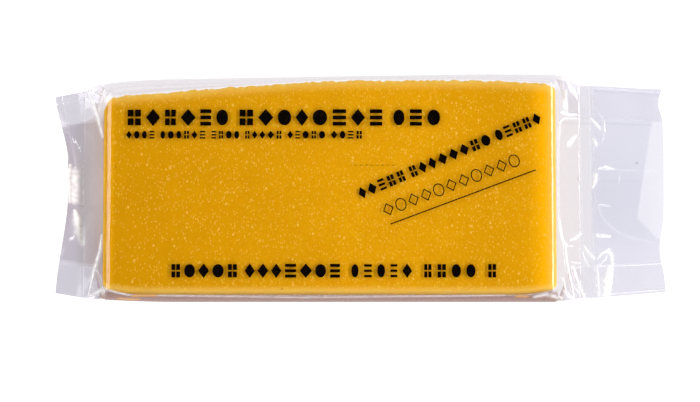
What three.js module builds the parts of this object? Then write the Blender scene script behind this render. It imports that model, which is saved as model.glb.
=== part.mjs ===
// A block of egg-yolk nougat sealed in a clear film bag, lying flat with its broad printed face up.
// Millimetres, +X along the block, +Y across it, +Z up. The underside of the bag lies at z = 0.
//
// The bag is a tube of film drawn tight round the block. Past each end of the block its side walls
// fold inwards as gussets, its broad walls slope to a flat weld at about half height, and a thin tail
// of loose film stands out past the weld. Film and block are one filled body here.

import * as THREE from "three";
import { mergeVertices } from "three/addons/utils/BufferGeometryUtils.js";

const { clamp, lerp, smoothstep } = THREE.MathUtils;

// The block
const BLOCK_LENGTH = 178;
const BLOCK_WIDTH = 84;
const BLOCK_HEIGHT = 17;
const CUT_EDGE_DROP = 7; // the upper long edge was cut askew and runs in by this much at the left
const CUT_EDGE_BEND = 1.3; // power that bends the askew cut a little
const CORNER_DROP = 2; // both long edges run in by this much at the block's other corners

// The bag
const LEFT_OVERHANG = 21; // film past the block's left end
const RIGHT_OVERHANG = 44.4; // film past the block's right end
const LEFT_SIDE = 43.5; // the film's reach in y beside the block, towards its left and its right end
const RIGHT_SIDE = 45.3;
const SIDE_DROP = 1.8; // the film runs in by this much at the block's left end
const FILM_CLEARANCE = 0.3; // film and trapped air above and below the block
const LEFT_SHOULDER = 9; // from the block's end to the weld
const RIGHT_SHOULDER = 10.4;
const WELD_WIDTH = 4.4;
const WELD_HEIGHT = 8.4; // the welds' middle above the table
const WELD_THICKNESS = 1.4;
const GUSSET_DEPTH = 11.5; // how far each side wall is tucked in at a weld
const GUSSET_OPENING = 1.2; // powers that shape the tuck, from the block on and closing at the weld
const GUSSET_CLOSING = 4;
const CREASE_SWING = 14; // how sharply the broad walls' creases swing out past the block's corners
const GUSSET_STEP = 0.5; // the tails are thicker by this much where the gusset doubles the film
const GUSSET_STEP_WIDTH = 2; // width of that step
const TAIL_THICKNESS = 1.2;

// The left tail is short, and its middle curls up and back towards the block
const LEFT_TAIL_UPPER = 36.6; // y of its two outer corners
const LEFT_TAIL_LOWER = -41.7;
const LEFT_WELD_UPPER = 38.5; // y of the weld's two ends
const LEFT_WELD_LOWER = -43.6;
const LEFT_TAIL_SKEW = 0.8; // the lower corner ends this much short of the upper one
const LEFT_CURL_BACK = 6.4;
const LEFT_CURL_RISE = 8.4;
const LEFT_CURL_TURN = 1.6; // power that bends the curl upwards
const LEFT_CURL_PLACE = 0.1; // where the curl is strongest, across the bag from -1 to 1
const LEFT_CURL_SPREAD = 0.77; // share of the way in from each corner at which it is full
const LEFT_TAIL_SINK = 2.6; // how far the outer corners hang below the weld

// The right tail is long and waves a little
const RIGHT_TAIL_UPPER = 40.2;
const RIGHT_TAIL_LOWER = -41.2;
const RIGHT_WELD_UPPER = 40.8;
const RIGHT_WELD_LOWER = -43.7;
const RIGHT_TAIL_SINK = 4.8;
const RIGHT_WAVE = 0.8;
const RIGHT_WAVE_TURNS = 5.2; // radians of wave from the tail's middle to its upper corner
const RIGHT_SWELL_TURNS = 2.1;
const RIGHT_EDGE_DIPS = [
  { at: 0.86, depth: 1.8, reach: 0.12 }, // places across the bag from -1 to 1
  { at: -0.6, depth: 2.1, reach: 0.22 },
];

// Rows of the mesh: across the bag, up its sides and along each stretch of its length
const ROWS_ACROSS = 26;
const ROWS_UP = 6;
const ROWS_LEFT_TAIL = 5;
const ROWS_LEFT_SHOULDER = 8;
const ROWS_BLOCK = 20;
const ROWS_RIGHT_SHOULDER = 8;
const ROWS_WELD = 2;
const ROWS_RIGHT_TAIL = 10;

// Places along the length
const BAG_LENGTH = LEFT_OVERHANG + BLOCK_LENGTH + RIGHT_OVERHANG;
const BAG_LEFT = -BAG_LENGTH / 2;
const BAG_RIGHT = BAG_LENGTH / 2;
const BLOCK_LEFT = BAG_LEFT + LEFT_OVERHANG;
const BLOCK_RIGHT = BAG_RIGHT - RIGHT_OVERHANG;
const LEFT_WELD = BLOCK_LEFT - LEFT_SHOULDER;
const RIGHT_WELD = BLOCK_RIGHT + RIGHT_SHOULDER;
const RIGHT_WELD_END = RIGHT_WELD + WELD_WIDTH;
const CUT_START = -70; // left of this the bag's long sides run in too
const CROWN_LEFT = -4; // between these two places the block is at its full width
const CROWN_RIGHT = 45;

const BAG_HEIGHT = BLOCK_HEIGHT + 2 * FILM_CLEARANCE;

// 0 at one place, 1 at the other, clamped and even between them
function ramp(x, from, to) {
  return clamp((x - from) / (to - from), 0, 1);
}

// Even slopes with slightly rounded ends
function eased(t) {
  return (t + smoothstep(t, 0, 1)) / 2;
}

// y of the block's upper long edge, which was cut askew
function blockUpperEdge(x) {
  const askew = CUT_EDGE_DROP * ramp(x, CROWN_LEFT, BLOCK_LEFT) ** CUT_EDGE_BEND;
  const corner = CORNER_DROP * ramp(x, CROWN_RIGHT, BLOCK_RIGHT) ** 2;
  return BLOCK_WIDTH / 2 - askew - corner;
}

// y of the block's lower long edge, straight but for its two ends
function blockLowerEdge(x) {
  const left = CORNER_DROP * ramp(x, BLOCK_LEFT + BLOCK_HEIGHT, BLOCK_LEFT) ** 2;
  const right = CORNER_DROP * ramp(x, BLOCK_RIGHT - BLOCK_HEIGHT, BLOCK_RIGHT) ** 2;
  return -BLOCK_WIDTH / 2 + left + right;
}

// The film's greatest reach in y beside the block, on the upper or the lower long side
function sideReach(x, upper) {
  const drop = SIDE_DROP * ramp(x, CUT_START, BLOCK_LEFT) ** 2;
  if (upper) return lerp(LEFT_SIDE, RIGHT_SIDE, ramp(x, CUT_START, CROWN_RIGHT)) - drop;
  return drop / 2 - RIGHT_SIDE;
}

// How far past the shoulder's start a place is: 0 over the block, 1 at the weld and on the tail
function pastBlock(x) {
  return x < 0 ? ramp(x, BLOCK_LEFT, LEFT_WELD) : ramp(x, BLOCK_RIGHT, RIGHT_WELD);
}

// 0 from the weld inwards, 1 at the tail's outer edge
function alongTail(x) {
  return x < 0 ? ramp(x, LEFT_WELD, BAG_LEFT) : ramp(x, RIGHT_WELD_END, BAG_RIGHT);
}

// y of the bag's outline seen from above, on the upper or the lower long side
function outline(x, upper) {
  const [weld, tail] = {
    leftUpper: [LEFT_WELD_UPPER, LEFT_TAIL_UPPER],
    leftLower: [LEFT_WELD_LOWER, LEFT_TAIL_LOWER],
    rightUpper: [RIGHT_WELD_UPPER, RIGHT_TAIL_UPPER],
    rightLower: [RIGHT_WELD_LOWER, RIGHT_TAIL_LOWER],
  }[(x < 0 ? "left" : "right") + (upper ? "Upper" : "Lower")];
  return lerp(lerp(sideReach(x, upper), weld, pastBlock(x)), tail, alongTail(x));
}

// y of the crease where a broad wall meets the side wall: the block's own edge, then the outline
function crease(x, upper) {
  const overBlock = upper ? blockUpperEdge(x) : blockLowerEdge(x);
  return lerp(overBlock, outline(x, upper), 1 - (1 - pastBlock(x)) ** CREASE_SWING);
}

// How far the side walls are tucked in at half height
function gussetTuck(x) {
  const t = pastBlock(x);
  return GUSSET_DEPTH * t ** GUSSET_OPENING * (1 - t ** GUSSET_CLOSING);
}

// Height of the bag's middle plane
function middleHeight(x, across) {
  const base = lerp(BAG_HEIGHT / 2, WELD_HEIGHT, pastBlock(x));
  const tail = alongTail(x);
  if (x < 0) {
    const middle = 1 - across * across;
    const curl = LEFT_CURL_RISE * middle ** 2 * tail ** LEFT_CURL_TURN;
    return base + curl - tail * LEFT_TAIL_SINK * (1 - middle);
  }
  const wave = Math.sin(across * RIGHT_WAVE_TURNS) + Math.cos((across + tail) * RIGHT_SWELL_TURNS);
  return base - RIGHT_TAIL_SINK * smoothstep(tail, 0, 1) + RIGHT_WAVE * tail * wave;
}

// Half of the bag's thickness, with the step over the gusset's inner fold on the tails
function halfThickness(x, fromCrease) {
  const half = GUSSET_STEP_WIDTH / 2;
  const doubled = GUSSET_STEP * smoothstep(GUSSET_DEPTH - fromCrease, -half, half);
  const flat = alongTail(x) > 0 ? TAIL_THICKNESS + doubled : WELD_THICKNESS;
  return lerp(BAG_HEIGHT, flat, eased(pastBlock(x))) / 2;
}

// The tails' outer edges aren't straight: how far one is drawn back at a place across the bag
function drawnBack(x, across) {
  const tail = alongTail(x);
  if (x < 0) {
    const corner = Math.sign(across - LEFT_CURL_PLACE);
    const curl = eased(Math.min(1, ramp(across, corner, LEFT_CURL_PLACE) / LEFT_CURL_SPREAD));
    return tail * (LEFT_CURL_BACK * curl + LEFT_TAIL_SKEW * ((1 - across) / 2));
  }
  let dips = 0;
  for (const dip of RIGHT_EDGE_DIPS)
    dips += dip.depth * Math.exp(-(((across - dip.at) / dip.reach) ** 2));
  return -tail * dips;
}

// One point of the bag's skin from its place along, across (-1 to 1) and up (-1 to 1)
function skinPoint(x, across, up) {
  const edge = Math.abs(crease(x, across >= 0));
  const bulge = Math.abs(outline(x, across >= 0)) - edge;
  const turn = (up * Math.PI) / 2;
  const reach = edge + bulge * Math.cos(turn) - gussetTuck(x) * (1 - Math.abs(Math.sin(turn)));
  const y = across * reach;
  const z = middleHeight(x, across) + halfThickness(x, edge - Math.abs(y)) * Math.sin(turn);
  return new THREE.Vector3(x + drawnBack(x, across), y, z);
}

// The places of the mesh's rows along the bag
function rowPlaces() {
  const stretches = [
    [BAG_LEFT, LEFT_WELD, ROWS_LEFT_TAIL],
    [LEFT_WELD, BLOCK_LEFT, ROWS_LEFT_SHOULDER],
    [BLOCK_LEFT, BLOCK_RIGHT, ROWS_BLOCK],
    [BLOCK_RIGHT, RIGHT_WELD, ROWS_RIGHT_SHOULDER],
    [RIGHT_WELD, RIGHT_WELD_END, ROWS_WELD],
    [RIGHT_WELD_END, BAG_RIGHT, ROWS_RIGHT_TAIL],
  ];
  const places = [BAG_LEFT];
  for (const [from, to, rows] of stretches)
    for (let row = 1; row <= rows; row++) places.push(lerp(from, to, row / rows));
  return places;
}

// A box's skin, cut into rows, with each point moved to its place on the bag
function bagGeometry() {
  const places = rowPlaces();
  const rows = places.length - 1;
  const box = new THREE.BoxGeometry(rows, 2, 2, rows, ROWS_ACROSS, ROWS_UP);
  box.deleteAttribute("normal");
  box.deleteAttribute("uv");
  const geometry = mergeVertices(box);
  const position = geometry.getAttribute("position");
  for (let i = 0; i < position.count; i++) {
    const row = Math.round(position.getX(i) + rows / 2);
    const point = skinPoint(places[row], position.getY(i), position.getZ(i));
    position.setXYZ(i, point.x, point.y, point.z);
  }
  geometry.computeVertexNormals();
  return geometry;
}

const nougatYellow = new THREE.MeshStandardMaterial({
  color: "#de9c09",
  roughness: 0.25,
  metalness: 0,
});

const bag = new THREE.Mesh(bagGeometry(), nougatYellow);
bag.name = "sealed_bag";

const part = new THREE.Group();
part.add(bag);

export default part;
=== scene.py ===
"""A block of egg-yolk nougat sealed in a clear film bag, with plain shapes printed on the film.

Everything is in metres, with +X along the block towards the longer film tail, +Y across the block and
+Z up out of its printed face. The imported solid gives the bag's form; the block, the film and the print
made here stand for it.
"""

import functools
import math
import random

import bmesh
import bpy
from mathutils import Matrix, Vector, noise


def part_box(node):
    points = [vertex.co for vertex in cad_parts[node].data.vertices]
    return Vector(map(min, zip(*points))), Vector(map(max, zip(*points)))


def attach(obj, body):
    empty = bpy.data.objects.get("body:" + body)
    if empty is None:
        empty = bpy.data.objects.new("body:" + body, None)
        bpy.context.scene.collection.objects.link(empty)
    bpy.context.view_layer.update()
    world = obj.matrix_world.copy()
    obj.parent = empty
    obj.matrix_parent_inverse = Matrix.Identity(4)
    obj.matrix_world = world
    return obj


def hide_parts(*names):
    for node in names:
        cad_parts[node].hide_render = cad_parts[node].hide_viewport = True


bl_info = {
    "name": "Nougat in a film bag",
    "version": (1, 0, 0),
    "blender": (4, 5, 0),
    "location": "3D View > Sidebar > Nougat",
    "description": "Makes a nougat block in clear film, the print on the film and a pale studio",
    "category": "Add Mesh",
}

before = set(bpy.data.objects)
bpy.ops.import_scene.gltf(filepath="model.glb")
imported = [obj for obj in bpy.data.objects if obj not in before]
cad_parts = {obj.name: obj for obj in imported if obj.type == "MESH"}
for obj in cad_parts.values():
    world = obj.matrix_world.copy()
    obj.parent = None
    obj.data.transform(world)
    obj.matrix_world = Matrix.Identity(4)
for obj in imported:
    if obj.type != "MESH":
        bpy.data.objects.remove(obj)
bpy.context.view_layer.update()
BAG_LOW, BAG_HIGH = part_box("sealed_bag")

MM = 0.001

# The block, which fills the bag's middle stretch
BLOCK_LENGTH = 178 * MM
BLOCK_WIDTH = 84 * MM
CUT_EDGE_DROP = 7 * MM  # the upper long edge was cut askew and runs in by this much at the left
CUT_EDGE_BEND = 1.3  # power that bends the askew cut a little
CORNER_DROP = 2 * MM  # both long edges run in by this much at the block's other corners
CORNER_REACH = 17 * MM  # from each end, over which the lower long edge runs in
UPPER_LEFT_CUT = 3.2 * MM  # how far the upper left corner is worn off each way

# The bag round it
LEFT_OVERHANG = 21 * MM  # from the left tail's outer edge to the block
LEFT_SHOULDER = 9 * MM  # from the block's end to the weld
RIGHT_SHOULDER = 10.4 * MM
WELD_WIDTH = 4.4 * MM  # of the right weld, which is flat; the left one is a line
WELD_HEIGHT = 8.4 * MM  # of both welds over the table
LEFT_SIDE = 43.5 * MM  # the film's reach in y beside the block, towards its left and its right end
RIGHT_SIDE = 45.3 * MM
SIDE_DROP = 1.8 * MM  # by which the film runs in towards the block's left end
CREASE_SWING = 14  # how sharply the broad walls' creases swing out past the block's corners
GUSSET_REACH = 0.6  # share of the shoulder by which the side walls are fully tucked in
WELD_HALF = 0.09 * MM  # half the stack of welded layers
TAIL_HALF = 0.5 * MM  # half the gap between the outer layers of a loose tail
TAIL_OPENING = 3 * MM  # past the weld, over which the layers part
LEFT_BEND_LEAD = 4.5 * MM  # how far inside the block's end the film starts to bend down
RIGHT_BEND_LEAD = 3.5 * MM
LEFT_BEND = 0.3  # share of the slope over which it bends down
RIGHT_BEND = 0.2
BEND_END = 0.03  # share over which it levels out again at the weld
PASTE_SWELL = 0.4 * MM  # how far the paste swells past its left end and its lower side
BLOCK_LIFT = 0.1 * MM  # from the table to the block's underside
FILM_LIFT = 0.05 * MM  # from the table to the film's underside

# y of the welds' ends and the tails' outer corners, and how deep each gusset is folded
CORNERS = {
    ("left", "upper"): {"weld": 38.5 * MM, "tail": 36.6 * MM, "gusset": 12.4 * MM},
    ("left", "lower"): {"weld": -43.6 * MM, "tail": -41.7 * MM, "gusset": 13.1 * MM},
    ("right", "upper"): {"weld": 40.8 * MM, "tail": 40.2 * MM, "gusset": 13.3 * MM},
    ("right", "lower"): {"weld": -43.7 * MM, "tail": -41.2 * MM, "gusset": 12.2 * MM},
}

# The left tail is short, and its middle curls up and back towards the block
LEFT_TAIL_SKEW = 0.8 * MM  # how much shorter the tail is at its lower corner
LEFT_CURL_BACK = 6.4 * MM
LEFT_CURL_RISE = 8.4 * MM
LEFT_CURL_TURN = 1.6  # power that bends the curl upwards
LEFT_CURL_PLACE = 0.1  # across the bag, from -1 to 1
LEFT_CURL_SPREAD = 0.77  # share of the way from a corner over which the edge is drawn back
LEFT_TAIL_SINK = 2.6 * MM  # of its corners

# The right tail is long and waves a little
RIGHT_TAIL_SINK = 4.8 * MM
RIGHT_WAVE = 0.8 * MM
RIGHT_WAVE_TURNS = 5.2  # radians of the short wave over half the bag's width
RIGHT_SWELL_TURNS = 2.1  # radians of the long wave
RIGHT_EDGE_DIPS = [  # how far its outer edge dips in, at places across the bag
    {"at": 0.86, "depth": 1.8 * MM, "reach": 0.12},
    {"at": -0.6, "depth": 2.1 * MM, "reach": 0.22},
]

# Places along the length
BAG_LEFT = BAG_LOW.x
BAG_RIGHT = BAG_HIGH.x
BLOCK_LEFT = BAG_LEFT + LEFT_OVERHANG
BLOCK_RIGHT = BLOCK_LEFT + BLOCK_LENGTH
LEFT_WELD = BLOCK_LEFT - LEFT_SHOULDER
RIGHT_WELD = BLOCK_RIGHT + RIGHT_SHOULDER
RIGHT_WELD_END = RIGHT_WELD + WELD_WIDTH
RUN_IN_START = -70 * MM  # the film's sides run in from here to the block's left end
CROWN_LEFT = -4 * MM  # the upper long edge is straight between this place and the next
CROWN_RIGHT = 45 * MM


class BlockSettings(bpy.types.PropertyGroup):
    """Sizes and colours of the nougat block"""

    height: bpy.props.FloatProperty(
        name="Height", description="Thickness of the block", default=16.5 * MM, unit="LENGTH"
    )
    end_radius: bpy.props.FloatProperty(
        name="End radius", description="Rounding at the two ends", default=3.4 * MM, unit="LENGTH"
    )
    side_radius: bpy.props.FloatProperty(
        name="Side radius", description="Rounding along the long edges", default=2.4 * MM, unit="LENGTH"
    )
    edge_radius: bpy.props.FloatProperty(
        name="Edge radius",
        description="Rounding of the top and bottom edges",
        default=1.6 * MM,
        unit="LENGTH",
    )
    cell: bpy.props.FloatProperty(
        name="Cell", description="Size of the mesh's cells", default=0.76 * MM, unit="LENGTH"
    )
    crumb_depth: bpy.props.FloatProperty(
        name="Crumb depth", description="How ragged the cut edge is", default=0.8 * MM, unit="LENGTH"
    )
    body_colour: bpy.props.FloatVectorProperty(
        name="Body", description="Colour of the paste", default=(0.725, 0.336, 0.001), subtype="COLOR"
    )
    # Painted glow and highlight along the block's edges, where light shines through and off the paste
    rim_glow_colour: bpy.props.FloatVectorProperty(
        name="Rim", description="Paler colour at the edges", default=(0.92, 0.6, 0.12), subtype="COLOR"
    )
    # Painted light: the glow through the right end and the highlight along the left end
    lit_colour: bpy.props.FloatVectorProperty(
        name="Lit end",
        description="Clearer colour near the right end",
        default=(0.99, 0.49, 0.001),
        subtype="COLOR",
    )
    # Colour of the paste's random mottling and of the painted shade towards the left and right of the middle
    mottle_and_shade_colour: bpy.props.FloatVectorProperty(
        name="Shade",
        description="Deeper colour of the denser places",
        default=(0.57, 0.265, 0.001),
        subtype="COLOR",
    )
    grain_colour: bpy.props.FloatVectorProperty(
        name="Grain",
        description="Colour of the fine pale grain",
        default=(0.79, 0.435, 0.01),
        subtype="COLOR",
    )
    fleck_colour: bpy.props.FloatVectorProperty(
        name="Flecks",
        description="Colour of the almond specks",
        default=(0.87, 0.52, 0.07),
        subtype="COLOR",
    )
    pore_colour: bpy.props.FloatVectorProperty(
        name="Pores",
        description="Colour of the few dark pores",
        default=(0.25, 0.09, 0.002),
        subtype="COLOR",
    )


class FilmSettings(bpy.types.PropertyGroup):
    """Sizes and colours of the film bag"""

    clearance: bpy.props.FloatProperty(
        name="Clearance", description="Gap between block and film", default=0.2 * MM, unit="LENGTH"
    )
    crumple: bpy.props.FloatProperty(
        name="Crumple",
        description="Height of the soft creases round the welds",
        default=0.14 * MM,
        unit="LENGTH",
    )
    clear_colour: bpy.props.FloatVectorProperty(
        name="Clear tint",
        description="What one layer lets through",
        default=(0.972, 0.967, 0.982),
        subtype="COLOR",
    )
    # Colour of the painted highlights on the film's creases
    painted_highlight_colour: bpy.props.FloatVectorProperty(
        name="Haze",
        description="Colour of creased, whitened film",
        default=(1.0, 1.0, 1.0),
        subtype="COLOR",
    )
    cool_colour: bpy.props.FloatVectorProperty(
        name="Cool grey",
        description="Shade of the loose tails",
        default=(0.13, 0.14, 0.32),
        subtype="COLOR",
    )
    # Warm painted shade and painted reflection of the paste, on the film near the block
    warm_colour: bpy.props.FloatVectorProperty(
        name="Warm grey",
        description="Shade of the film near the paste",
        default=(0.2, 0.055, 0.02),
        subtype="COLOR",
    )
    amber_colour: bpy.props.FloatVectorProperty(
        name="Amber",
        description="The paste's colour mirrored by the film",
        default=(0.7, 0.36, 0.08),
        subtype="COLOR",
    )
    gloss_roughness: bpy.props.FloatProperty(
        name="Roughness", description="Roughness of the film's gloss", default=0.09, subtype="FACTOR"
    )
    gloss_floor: bpy.props.FloatProperty(
        name="Gloss",
        description="Share reflected where the film is seen flat on",
        default=0.035,
        subtype="FACTOR",
    )
    gloss_edge: bpy.props.FloatProperty(
        name="Edge gloss",
        description="Share added where the film is seen edge on",
        default=0.5,
        subtype="FACTOR",
    )


class PrintSettings(bpy.types.PropertyGroup):
    """The ink shapes printed on the film"""

    thickness: bpy.props.FloatProperty(
        name="Thickness", description="Thickness of the ink", default=0.03 * MM, unit="LENGTH"
    )
    colour: bpy.props.FloatVectorProperty(
        name="Ink", description="Colour of the ink", default=(0.002, 0.0012, 0.0006), subtype="COLOR"
    )
    thin_colour: bpy.props.FloatVectorProperty(
        name="Thin ink",
        description="Colour where the ink is thin",
        default=(0.03, 0.013, 0.002),
        subtype="COLOR",
    )


class StageSettings(bpy.types.PropertyGroup):
    """The floor, lights and camera"""

    key_power: bpy.props.FloatProperty(
        name="Key light", description="Power of the light on the right", default=12.3, unit="POWER"
    )
    fill_power: bpy.props.FloatProperty(
        name="Fill lights", description="Power of each other light", default=4.6, unit="POWER"
    )
    floor_glow: bpy.props.FloatProperty(
        name="Floor glow", description="Light that the floor gives off itself", default=1.06
    )
    floor_colour: bpy.props.FloatVectorProperty(
        name="Floor", description="Colour of the floor", default=(0.15, 0.15, 0.15), subtype="COLOR"
    )


def lerp(start, end, share):
    """The value that lies the given share of the way between two others"""
    return start + (end - start) * share


def ramp(x, start, end):
    """0 at one place, 1 at the other, clamped and even between them"""
    return min(1, max(0, (x - start) / (end - start)))


def smooth(share):
    """A share from 0 to 1, eased in and out"""
    share = min(1, max(0, share))
    return share * share * (3 - 2 * share)


def eased(share):
    """Even slopes with slightly rounded ends"""
    return (share + smooth(share)) / 2


def bent(share, start, end):
    """0 to 1 with a round bend at each end and an even slope between them"""
    slope = 1 / (1 - start / 2 - end / 2)
    if share < start:
        return slope * share * share / (2 * start)
    if share > 1 - end:
        return 1 - slope * (1 - share) ** 2 / (2 * end)
    return slope * (share - start / 2)


def hump(x, at, reach):
    """1 at one place, falling away on both sides of it"""
    return math.exp(-(((x - at) / reach) ** 2))


def nearest_corner(x, upper):
    """The named sizes of the bag's corner nearest to a place"""
    return CORNERS["left" if x < 0 else "right", "upper" if upper else "lower"]


@functools.lru_cache(maxsize=None)
def block_edge(x, upper):
    """y of the block's long edge on one side"""
    if upper:
        askew = CUT_EDGE_DROP * ramp(x, CROWN_LEFT, BLOCK_LEFT) ** CUT_EDGE_BEND
        corner = CORNER_DROP * ramp(x, CROWN_RIGHT, BLOCK_RIGHT) ** 2
        return BLOCK_WIDTH / 2 - askew - corner
    left = CORNER_DROP * ramp(x, BLOCK_LEFT + CORNER_REACH, BLOCK_LEFT) ** 2
    right = CORNER_DROP * ramp(x, BLOCK_RIGHT - CORNER_REACH, BLOCK_RIGHT) ** 2
    return left + right - BLOCK_WIDTH / 2


def side_reach(x, upper):
    """The film's greatest reach in y beside the block"""
    drop = SIDE_DROP * ramp(x, RUN_IN_START, BLOCK_LEFT) ** 2
    if upper:
        return lerp(LEFT_SIDE, RIGHT_SIDE, ramp(x, RUN_IN_START, CROWN_RIGHT)) - drop
    return drop / 2 - RIGHT_SIDE


def past_block(x):
    """0 over the block, 1 at the weld and on the tail"""
    return ramp(x, BLOCK_LEFT, LEFT_WELD) if x < 0 else ramp(x, BLOCK_RIGHT, RIGHT_WELD)


def along_tail(x):
    """0 from the weld inwards, 1 at the tail's outer edge"""
    return ramp(x, LEFT_WELD, BAG_LEFT) if x < 0 else ramp(x, RIGHT_WELD_END, BAG_RIGHT)


@functools.lru_cache(maxsize=None)
def outline(x, upper):
    """y of the bag's outline seen from above"""
    corner = nearest_corner(x, upper)
    beside = lerp(side_reach(x, upper), corner["weld"], past_block(x))
    return lerp(beside, corner["tail"], along_tail(x))


@functools.lru_cache(maxsize=None)
def wall_crease(x, upper):
    """y of the crease where a broad wall meets the side wall"""
    swing = 1 - (1 - past_block(x)) ** CREASE_SWING
    return lerp(block_edge(x, upper), outline(x, upper), swing)


@functools.lru_cache(maxsize=None)
def gusset_tuck(x, upper):
    """How far the side wall is tucked in at half height"""
    return nearest_corner(x, upper)["gusset"] * smooth(past_block(x) / GUSSET_REACH)


def middle_height(x, across, film_height):
    """Height of the bag's middle plane"""
    base = lerp(film_height / 2, WELD_HEIGHT, past_block(x))
    tail = along_tail(x)
    if x < 0:
        middle = 1 - across * across
        curl = LEFT_CURL_RISE * middle**2 * tail**LEFT_CURL_TURN
        return base + curl - tail * LEFT_TAIL_SINK * (1 - middle)
    wave = math.sin(across * RIGHT_WAVE_TURNS) + math.cos((across + tail) * RIGHT_SWELL_TURNS)
    return base - RIGHT_TAIL_SINK * smooth(tail) + RIGHT_WAVE * tail * wave


def half_thickness(x, film_height):
    """Half the height between the bag's outer layers"""
    if x < 0:
        past_weld = LEFT_WELD - x
        slope = ramp(x, BLOCK_LEFT + LEFT_BEND_LEAD, LEFT_WELD)
        bend = LEFT_BEND
    else:
        past_weld = x - RIGHT_WELD_END
        slope = ramp(x, BLOCK_RIGHT - RIGHT_BEND_LEAD, RIGHT_WELD)
        bend = RIGHT_BEND
    flat = lerp(WELD_HALF, TAIL_HALF, smooth(past_weld / TAIL_OPENING))
    return lerp(film_height / 2, flat, bent(slope, bend, BEND_END))


def drawn_back(x, across):
    """How far a tail's outer edge is drawn back at a place across the bag"""
    tail = along_tail(x)
    if x < 0:
        corner = math.copysign(1, across - LEFT_CURL_PLACE)
        curl = eased(min(1, ramp(across, corner, LEFT_CURL_PLACE) / LEFT_CURL_SPREAD))
        return tail * (LEFT_CURL_BACK * curl + LEFT_TAIL_SKEW * ((1 - across) / 2))
    return -tail * sum(dip["depth"] * hump(across, dip["at"], dip["reach"]) for dip in RIGHT_EDGE_DIPS)


# The film's fine crumple, its finer crumple and its soft waves: sizes, strengths and noise seeds
RIDGE_SHARPNESS = 3
CRUMPLE = {"size": 4.5 * MM, "seed": 1.7}
FINE_CRUMPLE = {"size": 2.2 * MM, "seed": 5.1}
FINE_CRUMPLE_SHARE = 0.5
WAVE_SIZE = (26 * MM, 14 * MM)
WAVE_SEED = 3.3
WAVE_ON_BLOCK = 0.1
WAVE_ON_TAIL = 0.25
LEFT_CRUMPLE = 0.5
LEFT_TAIL_CALM = 0.5  # share by which the left tail's outer edge is smoother
RIGHT_CRUMPLE = 0.12
RIGHT_WELD_CRUMPLE = 0.5
RIGHT_WELD_REACH = 9 * MM  # each way from the right weld, over which the film is more crumpled


def ridges(x, y, size, seed):
    """Sharp creases with soft hollows between them, from 0 to 1"""
    value = noise.noise(Vector((x / size, y / size, seed)))
    return 1 - min(1, abs(value) * RIDGE_SHARPNESS)


def crumple_share(x):
    """How strongly the film is crumpled at a place along the bag"""
    if x < 0:
        return LEFT_CRUMPLE * past_block(x) * (1 - LEFT_TAIL_CALM * along_tail(x))
    return past_block(x) * (RIGHT_CRUMPLE + RIGHT_WELD_CRUMPLE * hump(x, RIGHT_WELD, RIGHT_WELD_REACH))


# The film's creases. Each has its rise in millimetres, its highlight, which is how strong a painted
# white highlight it carries, its density, which is how much it greys, its amber, which is how much of
# the paste's colour it mirrors as a painted reflection, and a path of points with x, y and a half width in
# millimetres.
LEFT_CREASES = [
    (0.5, 1, 0, 0, [(-108.2, 38, 0.6), (-105.8, 33.3, 0.9), (-104.2, 28.9, 0.9), (-101.6, 19.8, 0.45)]),
    (0.5, 0.95, 0, 0, [(-101.6, -19, 0.35), (-102.4, -25.3, 0.7),
                       (-104.2, -30.7, 0.9), (-107.3, -43.1, 0.35)]),
    (0.1, 0.16, 0, 0, [(-118.4, 35.9, 0.3), (-116, 25.1, 0.3), (-112.4, 9.2, 0.4)]),
    (0.1, 0.3, 0, 0, [(-118.9, 24.8, 0.3), (-112.4, 26.3, 0.3), (-105, 26, 0.3)]),
    (0.1, 0.3, 0, 0, [(-119, -29.6, 0.3), (-108.8, -31, 0.3), (-104.6, -32, 0.3)]),
    (0.15, 0.3, 0, 0, [(-120.4, 33.6, 0.4), (-109.4, 35.6, 0.4)]),
    (0.5, 1, 0, 0, [(-114.3, 8.6, 0.5), (-114.6, 4, 0.9), (-114.2, -6, 0.7)]),
    (0.4, 0.7, 0, 0, [(-112.6, 8, 0.4), (-112.9, 0, 0.6), (-112.7, -6.4, 0.5)]),
    (0, 0.85, 0, 0, [(-112.8, 6, 1.9), (-112.8, -5.2, 1.9)]),
    (0, 0, 0, 0.12, [(-101.4, 25, 1.9), (-101.4, -24, 1.9)]),
    (0.3, 0.8, 0, 0, [(-110, 9.6, 0.25), (-109.8, 0, 0.3), (-109.9, -6.6, 0.5)]),
    (-0.2, 0, 0.12, 0, [(-114.8, -7, 0.3), (-109.4, -7.3, 0.3)]),
    (0.2, 1.1, 0, 0, [(-112.7, -9.2, 0.6), (-111.9, -12.6, 1.8),
                      (-110.9, -17.3, 2.2), (-110.1, -22.2, 1.3)]),
    (0.1, 0.1, 0, 0, [(-105.8, 24, 0.3), (-105.6, 0, 0.3), (-105.8, -26, 0.3)]),
    (0.4, 0.5, 0, 0, [(-104.1, -32.5, 0.3), (-102.1, -35.2, 0.3),
                      (-100.9, -38.8, 0.35), (-100.2, -42, 0.4)]),
    (0.5, 0.8, 0, 0, [(-106.5, -42.9, 0.7), (-101.5, -40.9, 1.3), (-97, -42.4, 1), (-91, -43, 0.5)]),
    (0.3, 0, 0.22, 0, [(-104.5, 33.5, 0.4), (-103.6, 30, 0.5), (-102.7, 27.5, 0.3)]),
    (0.3, 0.4, 0, 0, [(-107.5, 38, 0.4), (-104, 37.6, 0.4), (-101.5, 36, 0.3)]),
]
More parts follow.
